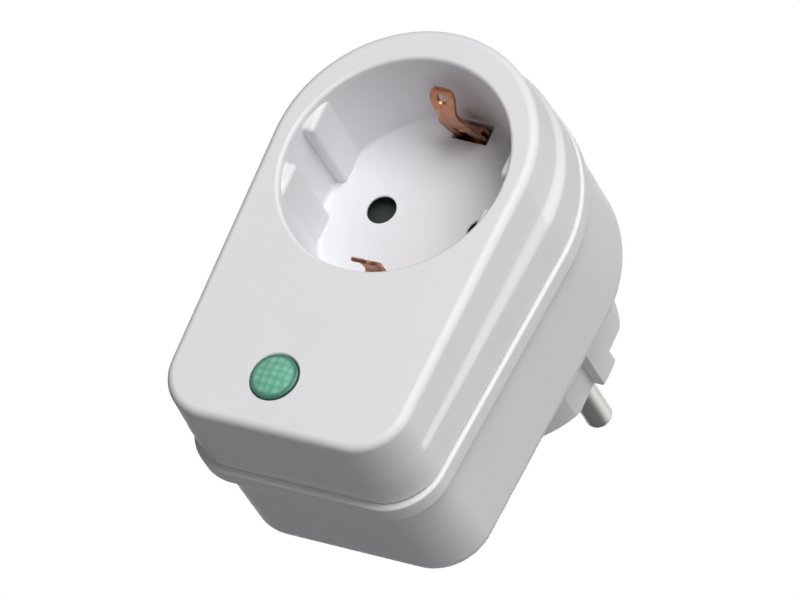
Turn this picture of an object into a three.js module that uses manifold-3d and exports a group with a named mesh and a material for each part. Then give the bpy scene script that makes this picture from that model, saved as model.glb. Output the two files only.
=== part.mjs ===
// A mains plug-in adapter: an earthed socket in front, an earthed plug behind and an indicator lens.
// Millimetres, +Z up. Inside the file, y is the depth behind the front face; the exported group moves
// it so that y = 0 is the end face of the plug, with the pins pointing along +Y.
import * as THREE from 'three';
import { mergeVertices } from 'three/addons/utils/BufferGeometryUtils.js';
import Module from 'manifold-3d';

const wasm = await Module();
wasm.setup();

// Socket and plug
const plugMargin = 9;
const socketPlay = 1.5;
const socketTaper = 0.3;
const socketDepth = 18.6;
const rimRound = 0.7;
const rimDepth = 1.5;
const pinSpacing = 19;
const pinRadius = 2.4;
const pinLength = 19;
const plugLength = 18;
const plugFlatDepth = 2.3;
const plugRibWidth = 4.6;
const ribPlay = 0.7;
const earthChannelDepth = 2.9;

// Casing
const sideRoom = 0.35;
const archRise = 2;
const sideTaper = 1.25;
const faceDrop = 51.5;
const cornerRadius = 9;
const frontDepth = 16.9;
const rearDepth = 26.3;
const bandWidth = 3.5;
const bandRound = 0.4;
const edgeRound = 1.5;
const backRound = 3;
const wall = 2;
const faceThickness = 2.2;
const endThickness = 2.5;
const channelWall = 1.5;
const cupWall = 1.5;
const earWidth = 3;
const floorThickness = 1.8;
const partingGap = 0.3;
const lipReach = 2.3;
const lipThickness = 1.2;
const lipRoot = 1.6;
const pilotStart = 9;

// Clearances
const gap = 0.3;
const fitGap = 0.2;

// Shutter behind the socket floor
const shutterRadius = 13.4;
const shutterThickness = 1.4;
const shutterOpenAngle = 36;
const axleRadius = 2;
const springSpace = 1.6;
const springWire = 0.6;
const coverThickness = 1.4;
const coverSkirt = 1.1;
const coverTabWidth = 5;
const coverBossRadius = 2.2;

// Contacts
const contactWall = 0.8;
const contactLength = 12.2;
const carrierDepth = 6;
const carrierHeight = 13;
const stripThickness = 0.8;
const busbarWidth = 6;
const earthWidth = 5;
const springWidth = 6;
const springThickness = 0.6;
const springReach = 5.1;
const springTipDepth = 3.4;
const springTipRise = 1.9;
const springHoleRadius = 0.9;
const forkGap = 2;
const slotClearance = 0.4;
const holderThickness = 2.3;
const pinCollarRadius = 3.8;
const pinCollarThickness = 1.2;

// Indicator
const lensRadius = 4.15;
const lensDome = 0.9;
const lensOffset = 3.1;
const lensRise = 9.7;
const lensFlange = 0.9;
const ledRadius = 1.5;

// Circuit board and what it carries
const boardThickness = 1.6;
const boardDepth = 26;
const capacitorSize = { width: 18, height: 8.2, depth: 12.2 };
const varistorRadius = 5.5;
const varistorThickness = 4.2;
const varistorSpacing = 6.5;
const fuseRadius = 2.5;
const fuseLength = 20;
const thermalFuseRadius = 2;
const thermalFuseLength = 9;
const resistorRadius = 1.15;
const resistorLength = 6.5;
const leadRadius = 0.75;

// Screws: shank radius, head radius and head height
const caseScrew = { shank: 1.35, head: 2.8, headHeight: 1.8 };
const smallScrew = { shank: 0.8, head: 2.1, headHeight: 1.2 };
const postWall = 1.3;
const screwSink = 4;

// Places that follow from the sizes above
const pinX = pinSpacing / 2;
const plugRadius = pinX + plugMargin;
const socketRadius = plugRadius + socketPlay;
const pinHoleRadius = pinRadius + fitGap;
const shutterWindowRadius = pinHoleRadius + gap;
const backFace = frontDepth + partingGap + rearDepth;
const plugEnd = backFace + plugLength;
const backInside = backFace - wall;
const endInside = plugEnd - endThickness;
const floorBack = socketDepth + floorThickness;
const cupRadius = socketRadius + cupWall;
const faceMargin = wall + cupWall + sideRoom;
const cupFront = rimDepth + gap;
const plugCavityRadius = plugRadius - endThickness;
const plugFlat = plugRadius - plugFlatDepth;
const socketFlat = plugFlat + socketPlay;
const springInner = socketRadius - springReach;
const springBack = springInner + 2.7;
const postRadius = caseScrew.shank + fitGap + postWall;
const frontPostEnd = Math.max(floorBack, frontDepth + lipReach) + 1.6;
const shutterBack = floorBack + gap + shutterThickness;
const coverFront = shutterBack + gap + springSpace + gap;
const coverBack = coverFront + coverThickness;
const coverRadius = shutterRadius + gap + coverSkirt;
const coverScrewX = coverRadius + coverBossRadius + gap;
const contactFront = coverBack + 2 * gap;
const contactBack = contactFront + contactLength + contactWall;
const contactRadius = pinHoleRadius + contactWall;
const carrierBack = contactBack - 3;
const carrierFront = carrierBack - carrierDepth;
const railFront = carrierBack + 1.5;
const railBack = railFront + stripThickness;
const footFront = railBack + gap;
const busbarFront = contactBack + gap;
const collarBack = endInside - gap;
const collarFront = collarBack - pinCollarThickness;
const holderBack = collarFront - gap;
const holderFront = holderBack - holderThickness;
const stubFront = holderFront - 1.4;
const earthChannelFloor = plugRadius - earthChannelDepth;
const earthStripZ = earthChannelFloor + fitGap + stripThickness / 2;
const boardBack = boardDepth + boardThickness;

// Casing outlines: an arch over the socket and two bottom corners
const faceOutline = {
  radius: socketRadius + faceMargin,
  rise: archRise,
  halfWidth: socketRadius + faceMargin - sideTaper,
  drop: faceDrop,
  corner: cornerRadius,
};
const shoulderLow = widened(faceOutline, { radius: 0.6, rise: -0.2, halfWidth: 0.1, drop: 0.2 });
const shoulderHigh = widened(faceOutline, { radius: 2.0, rise: -0.9, halfWidth: 0.2, drop: 0.3 });
const frontEnd = widened(faceOutline, { radius: 2.2, rise: -1.0, halfWidth: 0.25, drop: 0.4 });
const bandOutline = widened(faceOutline, {
  radius: 2.8,
  rise: -1.4,
  halfWidth: 0.85,
  drop: 1.5,
  corner: 0.5,
});
const rearOutline = widened(bandOutline, { radius: -1.1, rise: 0.6, halfWidth: -0.95, drop: -2.1 });
const backOutline = widened(rearOutline, { radius: -0.8, rise: 0.8, halfWidth: -0.2, drop: -0.3 });
const shoulderStart = 8;
const shoulderEnd = 9.5;
const lipEnd = frontDepth + lipReach;
const lipOutline = inset(rearOutline, wall + gap);
const lipInside = inset(lipOutline, lipThickness);

// Casing screws: a pair beside the socket cup and a pair in the bottom corners
const upperPostX = faceOutline.halfWidth - wall - postRadius - 0.1;
const upperPostZ = -Math.sqrt((cupRadius + postRadius + 2.4) ** 2 - upperPostX ** 2);
const lowerPostX = faceOutline.halfWidth - cornerRadius + 2;
const lowerPostZ = cornerRadius - faceDrop - 1;
const postPlaces = [
  [upperPostX, upperPostZ],
  [-upperPostX, upperPostZ],
  [lowerPostX, lowerPostZ],
  [-lowerPostX, lowerPostZ],
];
const carrierScrewX = plugCavityRadius + smallScrew.shank + fitGap + postWall + 0.9;
const carrierHalfWidth = carrierScrewX + 2.3;
const holderScrewZ = 9;
const earthRivetZ = 13.2;
const boardTop = upperPostZ - postRadius - 0.8;
const boardBottom = -faceDrop + wall + 1.4;
const boardShoulder = lowerPostZ + postRadius + 2.3;
const boardHalfWidth = faceOutline.halfWidth - wall - 1.6;
const boardTailHalfWidth = lowerPostX - caseScrew.head - gap - postWall - 0.3;
const standoffX = boardHalfWidth - 3.5;
const standoffZ = boardTop - 4;
const lensZ = lensRise - faceDrop;

function widened(outline, change) {
  return {
    radius: outline.radius + (change.radius ?? 0),
    rise: outline.rise + (change.rise ?? 0),
    halfWidth: outline.halfWidth + (change.halfWidth ?? 0),
    drop: outline.drop + (change.drop ?? 0),
    corner: outline.corner + (change.corner ?? 0),
  };
}

// Two values in rising order.
function between(a, b) {
  return [Math.min(a, b), Math.max(a, b)];
}

function inset(outline, by) {
  return widened(outline, { radius: -by, halfWidth: -by, drop: -by, corner: -by });
}

// Points round an outline, starting at the bottom right corner and turning towards the top.
function outlinePoints({ radius, rise, halfWidth, drop, corner }) {
  const cornerX = halfWidth - corner;
  const cornerZ = corner - drop;
  const reach = Math.hypot(cornerX, cornerZ - rise);
  const side = Math.atan2(cornerZ - rise, cornerX) + Math.acos((radius - corner) / reach);
  const points = [];
  const arc = (x, z, r, from, to, steps) => {
    for (let i = 0; i <= steps; i++) {
      const angle = from + ((to - from) * i) / steps;
      points.push([x + r * Math.cos(angle), z + r * Math.sin(angle)]);
    }
  };
  arc(cornerX, cornerZ, corner, -Math.PI / 2, side, 7);
  arc(0, rise, radius, side, Math.PI - side, 30);
  arc(-cornerX, cornerZ, corner, Math.PI - side, Math.PI * 1.5, 7);
  return points;
}

// A closed solid through a row of outlines, each at its own depth.
function loft(sections) {
  const rings = sections.map(([depth, outline]) => outlinePoints(outline).map(([x, z]) => [x, depth, z]));
  const count = rings[0].length;
  const middle = (ring) => [0, ring[0][1], (ring[0][2] + ring[Math.floor(count / 2)][2]) / 2];
  const vertices = [...rings.flat(), middle(rings[0]), middle(rings.at(-1))];
  const first = rings.length * count;
  const faces = [];
  for (let j = 0; j < count; j++) {
    const next = (j + 1) % count;
    for (let i = 0; i + 1 < rings.length; i++) {
      const here = i * count;
      const beyond = here + count;
      faces.push(here + j, beyond + j, beyond + next, here + j, beyond + next, here + next);
    }
    const last = (rings.length - 1) * count;
    faces.push(first, j, next, first + 1, last + next, last + j);
  }
  const geometry = new THREE.BufferGeometry();
  geometry.setAttribute('position', new THREE.Float32BufferAttribute(vertices.flat(), 3));
  geometry.setIndex(faces);
  return solid(geometry);
}

// A three.js geometry as a solid, with its faces turned outwards.
function solid(geometry) {
  const bare = geometry.clone();
  bare.deleteAttribute('normal');
  bare.deleteAttribute('uv');
  const merged = mergeVertices(bare, 1e-4);
  const corners = merged.attributes.position.array;
  const at = (i) => new THREE.Vector3().fromArray(corners, i * 3);
  const kept = [];
  let volume = 0;
  for (let i = 0; i < merged.index.count; i += 3) {
    const [a, b, c] = [0, 1, 2].map((k) => merged.index.getX(i + k));
    if (a !== b && b !== c && c !== a) {
      kept.push([a, b, c]);
      volume += at(a).dot(at(b).cross(at(c)));
    }
  }
  const triangles = kept.map((t) => (volume < 0 ? [...t].reverse() : t)).flat();
  return new wasm.Manifold(new wasm.Mesh({
    numProp: 3,
    vertProperties: new Float32Array(corners),
    triVerts: new Uint32Array(triangles),
  }));
}

function geometryOf(body) {
  const mesh = body.getMesh();
  const geometry = new THREE.BufferGeometry();
  geometry.setAttribute('position', new THREE.Float32BufferAttribute(mesh.vertProperties, 3));
  geometry.setIndex(Array.from(mesh.triVerts));
  geometry.computeVertexNormals();
  return geometry;
}

function join(...bodies) {
  return bodies.reduce((whole, body) => whole.add(body));
}

function cut(body, ...tools) {
  return tools.reduce((rest, tool) => rest.subtract(tool), body);
}

// A round bar along the depth.
function rod(radius, from, to, x = 0, z = 0, sides = 16) {
  const geometry = new THREE.CylinderGeometry(radius, radius, to - from, sides);
  geometry.translate(x, (from + to) / 2, z);
  return solid(geometry);
}

// A round bar across the width.
function crossRod(radius, fromX, toX, depth, z, sides = 16) {
  const geometry = new THREE.CylinderGeometry(radius, radius, toX - fromX, sides);
  geometry.rotateZ(Math.PI / 2);
  geometry.translate((fromX + toX) / 2, depth, z);
  return solid(geometry);
}

function block(x, depth, z) {
  const geometry = new THREE.BoxGeometry(x[1] - x[0], depth[1] - depth[0], z[1] - z[0]);
  geometry.translate((x[0] + x[1]) / 2, (depth[0] + depth[1]) / 2, (z[0] + z[1]) / 2);
  return solid(geometry);
}

// A turned body: pairs of radius and depth, from axis to axis.
function turned(profile, sides = 48) {
  const points = profile.map(([radius, depth]) => new THREE.Vector2(radius, depth));
  return solid(new THREE.LatheGeometry(points, sides));
}

// A bent strip: pairs of depth and height along its middle, with its thickness and its width in x.
function bentStrip(path, thickness, width) {
  const points = path.map(([depth, z]) => new THREE.Vector2(depth, z));
  const edge = (sign) => points.map((point, i) => {
    const before = points[Math.max(i - 1, 0)];
    const after = points[Math.min(i + 1, points.length - 1)];
    const into = point.clone().sub(before).normalize();
    const out = after.clone().sub(point).normalize();
    const along = into.clone().add(out).normalize();
    const spread = i === 0 || i === points.length - 1 ? 1 : Math.max(along.dot(out), 0.5);
    return new THREE.Vector2(-along.y, along.x).multiplyScalar((sign * thickness) / 2 / spread).add(point);
  });
  const shape = new THREE.Shape([...edge(1), ...edge(-1).reverse()]);
  const geometry = new THREE.ExtrudeGeometry(shape, { depth: width, bevelEnabled: false });
  geometry.translate(0, 0, -width / 2);
  geometry.applyMatrix4(new THREE.Matrix4().makeBasis(
    new THREE.Vector3(0, 1, 0),
    new THREE.Vector3(0, 0, 1),
    new THREE.Vector3(1, 0, 0),
  ));
  return solid(geometry);
}

function wire(points, radius) {
  const route = new THREE.CatmullRomCurve3(points.map((point) => new THREE.Vector3(...point)));
  const section = new THREE.Shape().absarc(0, 0, radius, 0, Math.PI * 2);
  return solid(new THREE.ExtrudeGeometry(section, { steps: 20, curveSegments: 4, extrudePath: route }));
}

// A screw along the depth, its shank reaching from the head towards the given end.
function screw({ shank, head, headHeight }, headSeat, tip) {
  const towards = Math.sign(headSeat - tip);
  const headTop = headSeat + towards * headHeight;
  const slotDepth = headSeat + towards * headHeight * 0.45;
  const [low, high] = between(headSeat, headTop);
  const [shankLow, shankHigh] = between(tip, headSeat + towards * headHeight * 0.2);
  const [slotLow, slotHigh] = between(slotDepth, headTop + towards);
  const across = head * 0.55;
  const blade = head * 0.13;
  return cut(
    join(rod(head, low, high), rod(shank, shankLow, shankHigh, 0, 0, 12)),
    block([-across, across], [slotLow, slotHigh], [-blade, blade]),
    block([-blade, blade], [slotLow, slotHigh], [-across, across]),
  );
}

function frontShell() {
  const rounded = [0, 1, 2, 3].map((i) => {
    const angle = (i / 3) * (Math.PI / 2);
    return [edgeRound * (1 - Math.cos(angle)), inset(faceOutline, edgeRound * (1 - Math.sin(angle)))];
  });
  const outside = loft([
    ...rounded,
    [shoulderStart, shoulderLow],
    [shoulderEnd, shoulderHigh],
    [frontDepth, frontEnd],
  ]);
  const lipStart = frontDepth - lipRoot;
  const hollow = loft([
    [faceThickness, inset(faceOutline, wall)],
    [shoulderStart, inset(shoulderLow, wall)],
    [shoulderEnd, inset(shoulderHigh, wall)],
    [lipStart, inset(frontEnd, wall)],
  ]);
  const lip = loft([[lipStart, lipOutline], [lipEnd, lipOutline]]);
  const lipHollow = loft([[lipStart - 0.1, lipInside], [lipEnd + 1, lipInside]]);
  const posts = postPlaces.map(([x, z]) => rod(postRadius, faceThickness - 0.5, frontPostEnd, x, z));
  const pilots = postPlaces.map(([x, z]) => (
    rod(caseScrew.shank + fitGap, pilotStart, frontPostEnd + 1, x, z, 12)
  ));
  const lensHole = rod(lensRadius + fitGap, -1, faceThickness + 1, -lensOffset, lensZ, 32);
  const skin = cut(join(outside, lip), hollow, lipHollow);
  return cut(join(skin, ...posts), socketMouth(), lensHole, ...pilots);
}

// The rounded mouth in the face, and behind it the seat that the cup's front edge sits in.
function socketMouth() {
  return turned([
    [0, -1],
    [socketRadius + rimRound, -1],
    [socketRadius + rimRound, 0],
    [socketRadius + rimRound * 0.3, rimRound * 0.3],
    [socketRadius, rimRound],
    [socketRadius, rimDepth],
    [cupRadius + gap, rimDepth],
    [cupRadius + gap, faceThickness + 1],
    [0, faceThickness + 1],
  ]);
}

// The cup that a plug goes into, with the shutter's axle and two screw bosses on its back.
function socketCup() {
  const floorRadius = socketRadius - socketTaper;
  const recess = turned([
    [0, -1],
    [socketRadius, -1],
    [socketRadius, cupFront],
    [floorRadius, socketDepth - 0.5],
    [floorRadius - 0.5, socketDepth],
    [0, socketDepth],
  ]);
  const cup = rod(cupRadius, cupFront, floorBack, 0, 0, 48);
  const bosses = [-1, 1].map((side) => (
    rod(coverBossRadius, floorBack - 0.5, coverFront - gap, side * coverScrewX)
  ));
  const pilots = [-1, 1].map((side) => (
    rod(smallScrew.shank + fitGap, floorBack + 0.4, coverFront, side * coverScrewX, 0, 12)
  ));
  const axle = rod(axleRadius, floorBack - 0.5, coverBack);
  const opened = cut(join(cup, ...cupEars(), ...bosses, axle), recess, ...pilots);
  return cut(join(opened, ...guideFlats()), ...pinHoles(), ...earthSlots());
}

// Two ears level with the cup's floor that slip over the upper screw posts.
function cupEars() {
  const room = inset(lipInside, gap);
  const space = loft([[socketDepth, room], [floorBack, room]]);
  return [upperPostX, -upperPostX].map((x) => {
    const ear = rod(postRadius + gap + earWidth, socketDepth - 1, floorBack + 1, x, upperPostZ, 20);
    const hole = rod(postRadius + gap, socketDepth - 1, floorBack + 1, x, upperPostZ, 20);
    return ear.intersect(space).subtract(hole);
  });
}

// Two flats at each side of the recess, with an open way between them for the rib of a plug.
function guideFlats() {
  const half = plugRibWidth / 2 + ribPlay;
  const around = rod(cupRadius - gap, cupFront, socketDepth + 0.5, 0, 0, 48);
  return [-1, 1].flatMap((side) => [-1, 1].map((end) => (
    around.intersect(block(
      between(side * socketFlat, side * cupRadius),
      [cupFront, socketDepth + 0.5],
      between(end * half, end * socketRadius / 2),
    ))
  )));
}

function pinHoles() {
  return [-1, 1].map((side) => rod(pinHoleRadius, socketDepth - 1, floorBack + 0.5, side * pinX, 0, 24));
}

// The slots in the cup's floor that the earth springs come through.
function earthSlots() {
  const half = springWidth / 2 + slotClearance;
  return [-1, 1].map((side) => {
    const across = between(side * (springInner + 0.6), side * (cupRadius + 1));
    return block([-half, half], [socketDepth, floorBack + 1], across);
  });
}

function rearShell() {
  const start = frontDepth + partingGap;
  const curve = [0, 1, 2, 3, 4].map((i) => {
    const angle = (i / 4) * (Math.PI / 2);
    const depth = backFace - backRound * (1 - Math.sin(angle));
    return [depth, inset(backOutline, backRound * (1 - Math.cos(angle)))];
  });
  const outside = loft([
    [start, inset(bandOutline, bandRound)],
    [start + bandRound, bandOutline],
    [start + bandWidth, bandOutline],
    [start + bandWidth + bandRound, rearOutline],
    ...curve,
  ]);
  const hollow = loft([[start - 1, inset(rearOutline, wall)], [backInside, inset(backOutline, wall)]]);
  const barrel = turned([
    [0, backFace - 1],
    [plugRadius, backFace - 1],
    [plugRadius, plugEnd - 0.8],
    [plugRadius - 0.8, plugEnd],
    [0, plugEnd],
  ]);
  const head = caseScrew.head + gap;
  const headSeat = backFace - screwSink;
  const posts = postPlaces.flatMap(([x, z]) => [
    rod(postRadius, frontPostEnd + gap, backFace - 1, x, z),
    rod(head + postWall, headSeat - postWall, backFace - 1, x, z, 20),
  ]);
  const shanks = postPlaces.map(([x, z]) => (
    rod(caseScrew.shank + 2 * fitGap, frontPostEnd, backFace, x, z, 12)
  ));
  const sinks = postPlaces.map(([x, z]) => rod(head, headSeat, backFace + 1, x, z, 20));
  const small = smallScrew.shank + fitGap;
  const carrierPosts = [-1, 1].map((side) => (
    rod(small + postWall, carrierBack + gap, backFace - 1, side * carrierScrewX)
  ));
  const carrierPilots = [-1, 1].map((side) => (
    rod(small, carrierBack, backInside + 0.6, side * carrierScrewX, 0, 12)
  ));
  const standoffs = [-1, 1].map((side) => (
    rod(small + postWall, boardBack + gap, backFace - 1, side * standoffX, standoffZ)
  ));
  const boardPilots = [-1, 1].map((side) => (
    rod(small, boardBack, boardBack + 9, side * standoffX, standoffZ, 12)
  ));
  const holderPosts = [-1, 1].map((side) => (
    rod(small + postWall, holderBack + gap, endInside + 0.5, 0, side * holderScrewZ)
  ));
  const holderPilots = [-1, 1].map((side) => (
    rod(small, holderBack, plugEnd - 1, 0, side * holderScrewZ, 12)
  ));
  const casing = cut(join(outside, barrel), hollow);
  const fitted = join(casing, ...posts, ...carrierPosts, ...standoffs);
  const body = cut(fitted, plugCavity(), ...plugFlats(), ...earthChannels());
  return cut(
    join(body, ...holderPosts),
    ...sinks, ...shanks, ...carrierPilots, ...boardPilots, ...holderPilots,
    ...[-1, 1].map((side) => rod(pinHoleRadius, endInside - 1, plugEnd + 1, side * pinX, 0, 24)),
  );
}

// The space inside the plug barrel, narrowed behind its side flats and its earth channels.
function plugCavity() {
  const sideways = plugFlat - channelWall;
  const upward = earthChannelFloor - channelWall;
  const channelHalf = earthWidth / 2 + gap + channelWall;
  const round = rod(plugCavityRadius, backInside - 1, endInside, 0, 0, 40);
  const lands = [-1, 1].flatMap((side) => [
    block(between(side * sideways, side * plugRadius), [backInside, plugEnd], [-plugRadius, plugRadius]),
    block([-channelHalf, channelHalf], [backInside, plugEnd], between(side * upward, side * plugRadius)),
  ]);
  return cut(round, ...lands);
}

// What is cut from the sides of the plug, above and below the rib that is left at each side.
function plugFlats() {
  const half = plugRibWidth / 2;
  return [-1, 1].flatMap((side) => [-1, 1].map((end) => (
    block(
      between(side * plugFlat, side * (plugRadius + 1)),
      [backFace, plugEnd + 1],
      between(end * half, end * plugRadius),
    )
  )));
}

// The channels and slots for the plug's earth strips.
function earthChannels() {
  const half = earthWidth / 2 + gap;
  const slotTop = earthStripZ + stripThickness / 2 + fitGap;
  return [-1, 1].flatMap((side) => {
    const up = between(side * earthChannelFloor, side * (plugRadius + 1));
    const through = between(side * earthChannelFloor, side * slotTop);
    return [
      block([-half, half], [backFace, plugEnd + 1], up),
      block([-half, half], [backInside - 3, backFace + 1], through),
    ];
  });
}

function plugPin() {
  const tip = plugEnd + pinLength;
  const stub = pinRadius * 0.75;
  return turned([
    [0, stubFront],
    [stub, stubFront],
    [stub, collarFront],
    [pinCollarRadius, collarFront],
    [pinCollarRadius, collarBack],
    [pinRadius, collarBack],
    [pinRadius, tip - 1.4],
    [pinRadius * 0.8, tip - 0.5],
    [pinRadius * 0.42, tip - 0.1],
    [0, tip],
  ], 24);
}

function pinHolder() {
  const halfWidth = plugFlat - channelWall - 2 * gap;
  const halfHeight = earthChannelFloor - channelWall - 2 * gap;
  const disc = rod(plugCavityRadius - 2 * gap, holderFront, holderBack, 0, 0, 40);
  const trim = block([-halfWidth, halfWidth], [holderFront, holderBack], [-halfHeight, halfHeight]);
  const holes = [-1, 1].map((side) => (
    rod(pinRadius * 0.75 + gap, holderFront - 1, holderBack + 1, side * pinX)
  ));
  const screwHoles = [-1, 1].map((side) => (
    rod(smallScrew.shank + gap, holderFront - 1, holderBack + 1, 0, side * holderScrewZ, 12)
  ));
  return cut(disc.intersect(trim), ...holes, ...screwHoles);
}

// A sprung sleeve with two jaws that grips a pin.
function socketContact() {
  const sleeve = rod(contactRadius, contactFront, contactBack, 0, 0, 24);
  const bore = rod(pinHoleRadius, contactFront - 1, contactBack - contactWall, 0, 0, 24);
  const height = contactRadius + 1;
  const slit = block([-0.5, 0.5], [contactFront - 1, contactBack - 3.5], [-height, height]);
  return cut(sleeve, bore, slit);
}

function contactCarrier() {
  const half = carrierHeight / 2;
  const plate = block([-carrierHalfWidth, carrierHalfWidth], [carrierFront, carrierBack], [-half, half]);
  const seats = [-1, 1].map((side) => (
    rod(contactRadius + gap, carrierFront - 1, carrierBack + 1, side * pinX, 0, 24)
  ));
  const holes = [-1, 1].map((side) => (
    rod(smallScrew.shank + gap, carrierFront - 1, carrierBack + 1, side * carrierScrewX, 0, 12)
  ));
  return cut(plate, ...seats, ...holes);
}

// A copper strip from the back of a contact to the stub of the pin behind it.
function busbar() {
  const half = stripThickness / 2;
  const lowered = -contactRadius - 1;
  return bentStrip([
    [busbarFront + half, contactRadius],
    [busbarFront + half, lowered],
    [stubFront - gap - half, lowered],
    [stubFront - gap - half, contactRadius - 0.6],
  ], stripThickness, busbarWidth);
}

function earthRail() {
  const reach = earthRivetZ + 3;
  return cut(
    block([-earthWidth / 2, earthWidth / 2], [railFront, railBack], [-reach, reach]),
    ...[-1, 1].map((side) => rod(0.8 + fitGap, railFront - 1, railBack + 1, 0, side * earthRivetZ, 12)),
  );
}

// The strip in the plug's channel, with a foot inside the casing that meets the earth rail.
function plugEarthStrip() {
  const half = stripThickness / 2;
  const strip = bentStrip([
    [footFront + half, earthRivetZ - 2],
    [footFront + half, earthStripZ],
    [plugEnd - 0.6, earthStripZ],
  ], stripThickness, earthWidth);
  return cut(strip, rod(0.8 + fitGap, footFront - 1, footFront + stripThickness + 1, 0, earthRivetZ, 12));
}

function earthRivet() {
  return turned([
    [0, railFront - gap - 0.7],
    [1.5, railFront - gap - 0.5],
    [1.5, railFront - gap],
    [0.8, railFront - gap],
    [0.8, footFront + stripThickness + gap],
    [1.5, footFront + stripThickness + gap],
    [1.5, footFront + stripThickness + gap + 0.5],
    [0, footFront + stripThickness + gap + 0.7],
  ], 12);
}

// The socket's upper earth spring: foot at the earth rail, bowed tongue in the recess.
function earthSpring() {
  const footDepth = railFront - gap - springThickness / 2;
  const strip = bentStrip([
    [footDepth, earthRivetZ + 2.4],
    [footDepth, springBack],
    [floorBack + 2.5, springBack],
    [floorBack, springInner + 2],
    [socketDepth - 2, springInner + 1.3],
    [socketDepth - 6, springInner + 0.3],
    [socketDepth - 9.5, springInner],
    [socketDepth - 12, springInner + 0.4],
    [springTipDepth + 1.5, springInner + springTipRise - 0.8],
    [springTipDepth, springInner + springTipRise],
  ], springThickness, springWidth);
  const fork = block(
    [-forkGap / 2, forkGap / 2],
    [socketDepth - 5, floorBack + 2],
    [springInner - 2, springBack + 2],
  );
  const eye = new THREE.CylinderGeometry(springHoleRadius, springHoleRadius, 6, 12);
  eye.rotateX(Math.PI / 2);
  eye.translate(0, springTipDepth + 1.6, springInner + 1);
  return cut(strip, fork, solid(eye));
}

function shutterPlate() {
  const front = floorBack + gap;
  const swing = THREE.MathUtils.degToRad(shutterOpenAngle);
  const windows = [0, Math.PI].map((turn) => rod(
    shutterWindowRadius, front - 1, shutterBack + 1,
    pinX * Math.cos(turn - swing), pinX * Math.sin(turn - swing), 24,
  ));
  const hub = rod(axleRadius + gap, front - 1, shutterBack + 1);
  const ramps = [-1, 1].map((side) => {
    const ramp = block([pinX - 2.2, pinX + 2.2], [shutterBack - 0.7, shutterBack + 1], [-1.2, 3.2]);
    return side > 0 ? ramp : ramp.rotate([0, 180, 0]);
  });
  return cut(rod(shutterRadius, front, shutterBack, 0, 0, 40), ...windows, hub, ...ramps);
}

function shutterCover() {
  const start = floorBack + gap;
  const plate = rod(coverRadius, start, coverBack, 0, 0, 40);
  const tabs = block([-coverScrewX - 2.4, coverScrewX + 2.4], [coverFront, coverBack],
    [-coverTabWidth / 2, coverTabWidth / 2]);
  const inside = rod(shutterRadius + gap, start - 1, coverFront, 0, 0, 40);
  const passages = [-1, 1].map((side) => rod(pinHoleRadius + gap, start, coverBack + 1, side * pinX, 0, 24));
  const holes = [-1, 1].map((side) => (
    rod(smallScrew.shank + gap, coverFront - 1, coverBack + 1, side * coverScrewX, 0, 12)
  ));
  return cut(join(plate, tabs), inside, ...passages, ...holes, rod(axleRadius + gap, start, coverBack + 1));
}

// Two turns of wire round the shutter's axle, with a leg at each end.
function shutterSpring() {
  const coil = axleRadius + gap + springWire;
  const front = shutterBack + gap + springWire / 2;
  const rise = springSpace - springWire;
  const steps = 24;
  const points = [[-coil - 3, front, -coil]];
  for (let i = 0; i <= steps; i++) {
    const part = i / steps;
    const angle = -Math.PI / 2 + part * Math.PI * 3;
    points.push([coil * Math.cos(angle), front + rise * part, coil * Math.sin(angle)]);
  }
  points.push([-coil - 3, front + rise, coil]);
  const places = points.map((point) => new THREE.Vector3(...point));
  const route = new THREE.CatmullRomCurve3(places, false, 'centripetal');
  const section = new THREE.Shape().absarc(0, 0, springWire / 2, 0, Math.PI * 2);
  return solid(new THREE.ExtrudeGeometry(section, { steps: 48, curveSegments: 3, extrudePath: route }));
}

function indicatorLens() {
  const seat = faceThickness + gap;
  const dome = [1, 2, 3].map((i) => {
    const angle = (i / 4) * (Math.PI / 2);
    return [lensRadius * Math.sin(angle), -lensDome * Math.cos(angle) ];
  });
  return turned([
    [0, -lensDome],
    ...dome,
    [lensRadius, 0],
    [lensRadius, seat],
    [lensRadius + 0.8, seat],
    [lensRadius + 0.8, seat + lensFlange],
    [ledRadius + 0.9, seat + lensFlange],
    [ledRadius + 0.9, faceThickness - 0.6],
    [0, faceThickness - 0.6],
  ], 32);
}

function indicatorLed() {
  const nose = faceThickness + lensFlange + 0.6;
  const body = turned([
    [0, nose],
    [ledRadius * 0.7, nose + 0.4],
    [ledRadius, nose + 1.5],
    [ledRadius, nose + 4],
    [ledRadius + 0.3, nose + 4],
    [ledRadius + 0.3, nose + 5],
    [0, nose + 5],
  ], 16);
  const legs = [-1, 1].map((side) => (
    block([side * 1.27 - 0.25, side * 1.27 + 0.25], [nose + 4.5, boardDepth - gap], [-0.25, 0.25])
  ));
  return join(body, ...legs);
}

function circuitBoard() {
  const outline = new THREE.Shape([
    new THREE.Vector2(-boardTailHalfWidth, boardBottom),
    new THREE.Vector2(boardTailHalfWidth, boardBottom),
    new THREE.Vector2(boardTailHalfWidth, boardShoulder),
    new THREE.Vector2(boardHalfWidth, boardShoulder),
    new THREE.Vector2(boardHalfWidth, boardTop),
    new THREE.Vector2(-boardHalfWidth, boardTop),
    new THREE.Vector2(-boardHalfWidth, boardShoulder),
    new THREE.Vector2(-boardTailHalfWidth, boardShoulder),
  ]);
  const geometry = new THREE.ExtrudeGeometry(outline, { depth: boardThickness, bevelEnabled: false });
  geometry.rotateX(Math.PI / 2);
  geometry.translate(0, boardBack, 0);
  const holes = [-1, 1].map((side) => (
    rod(smallScrew.shank + gap, boardDepth - 1, boardBack + 1, side * standoffX, standoffZ, 12)
  ));
  return cut(solid(geometry), ...holes);
}

function filmCapacitor() {
  const { width, height, depth } = capacitorSize;
  const geometry = new THREE.BoxGeometry(width, depth, height);
  return solid(geometry);
}

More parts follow.
